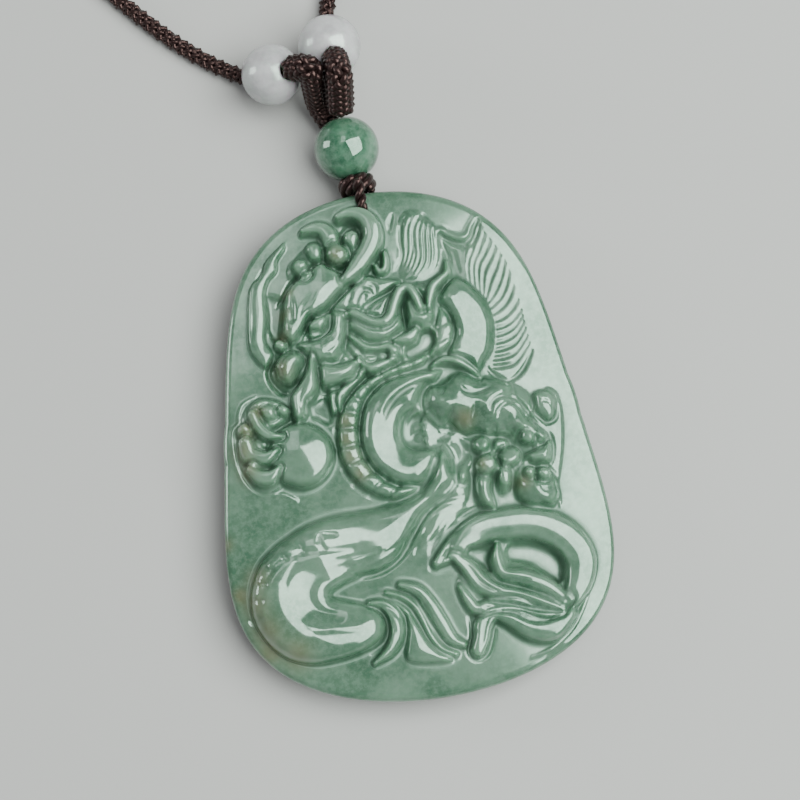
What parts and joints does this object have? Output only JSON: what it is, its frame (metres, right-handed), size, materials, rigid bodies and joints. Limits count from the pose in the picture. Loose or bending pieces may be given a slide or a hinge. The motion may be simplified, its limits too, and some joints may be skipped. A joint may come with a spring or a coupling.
{
  "type": "jade dragon pendant",
  "caption": "Oval jade plaque carved with a coiled dragon, hung by a knotted cord and round beads from a plain braided neck loop.",
  "frame": {"origin": "middle of the plaque's flat back, on the surface that the pendant lies on", "axes": "+Z out of the carved face, +Y from the plaque's middle towards its narrow end and the neck loop, +X to the right as the carving is read"},
  "size_m": [0.1583, 0.3051, 0.0113],
  "materials": {
    "jade": "polished",
    "green_bead": "polished",
    "white_bead": "polished, translucent",
    "cord": "waxed braided thread"
  },
  "bodies": {
    "root": {"jade_plaque": "jade", "hanging_cord": "cord", "cord_knot": "cord", "green_bead": "green_bead", "left_braid": "cord", "right_braid": "cord", "left_white_bead": "white_bead", "right_white_bead": "white_bead", "neck_cord": "cord"}
  },
  "joints": []
}
